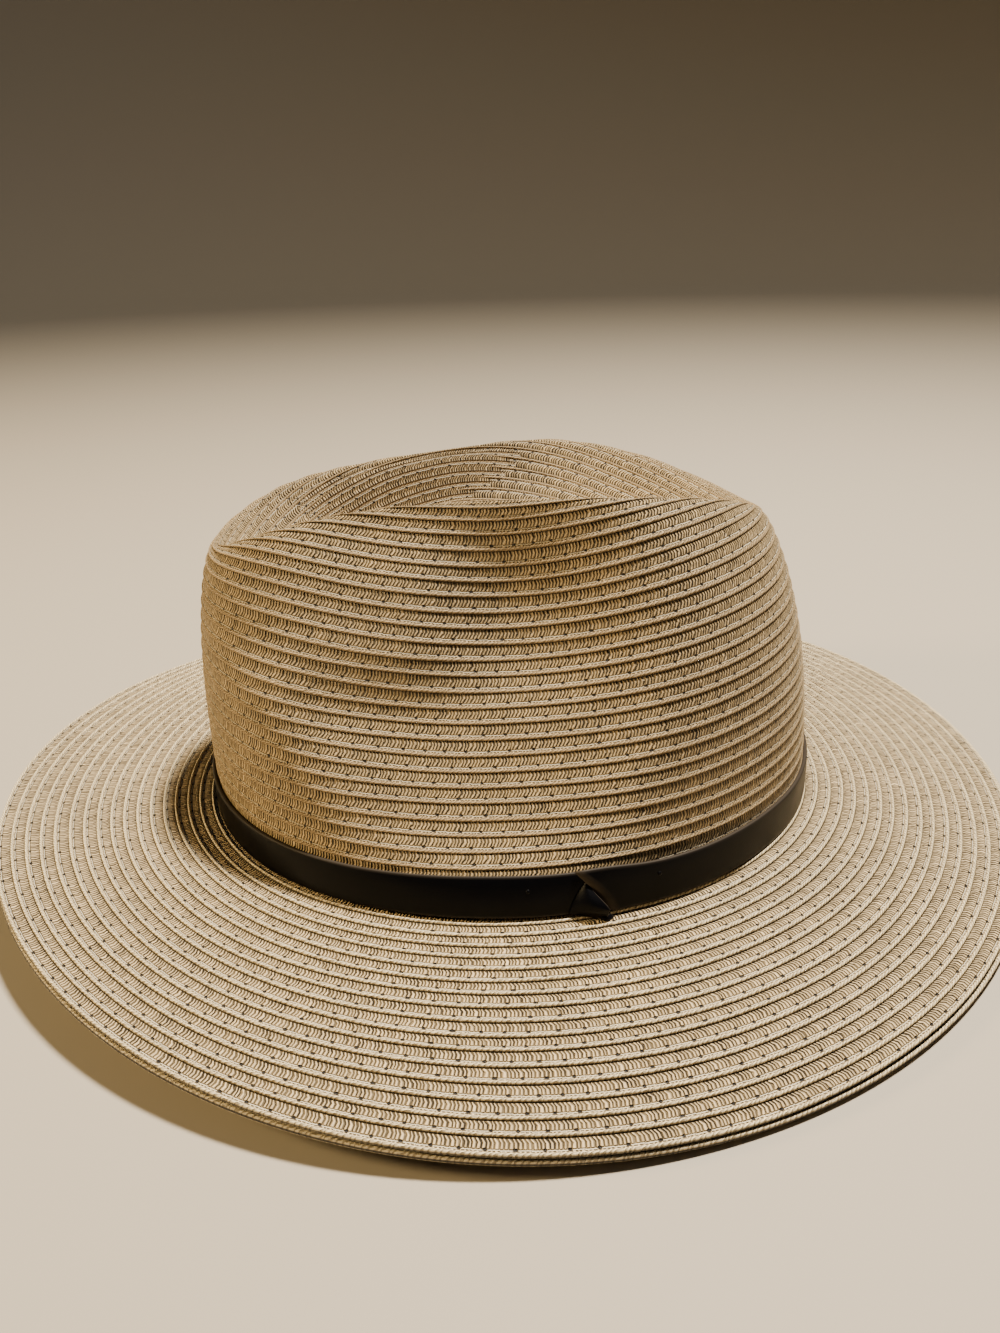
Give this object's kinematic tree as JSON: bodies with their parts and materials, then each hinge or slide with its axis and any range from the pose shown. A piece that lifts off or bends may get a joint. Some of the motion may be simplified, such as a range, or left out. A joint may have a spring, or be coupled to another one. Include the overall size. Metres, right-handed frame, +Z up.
{
  "type": "wide-brim straw sun hat",
  "caption": "Wide-brim sun hat of sewn straw braid, with a pinched and dented crown, a gently waved brim and a narrow leather band tied in a small flat knot.",
  "frame": {"origin": "on the surface that the hat stands on, under the middle of the brim", "axes": "-Y towards the front of the hat, +X towards the wearer's left, +Z up"},
  "size_m": [0.315, 0.3187, 0.1106],
  "materials": {
    "straw_braid": "sewn paper-straw braid, natural tan, matt with a slight sheen on the cords",
    "band_leather": "smooth near-black leather, satin, with paler cut edges"
  },
  "bodies": {
    "root": {"crown": "straw_braid", "brim": "straw_braid", "brim_edge_course": "straw_braid", "hatband": "band_leather", "band_knot": "band_leather"}
  },
  "joints": []
}
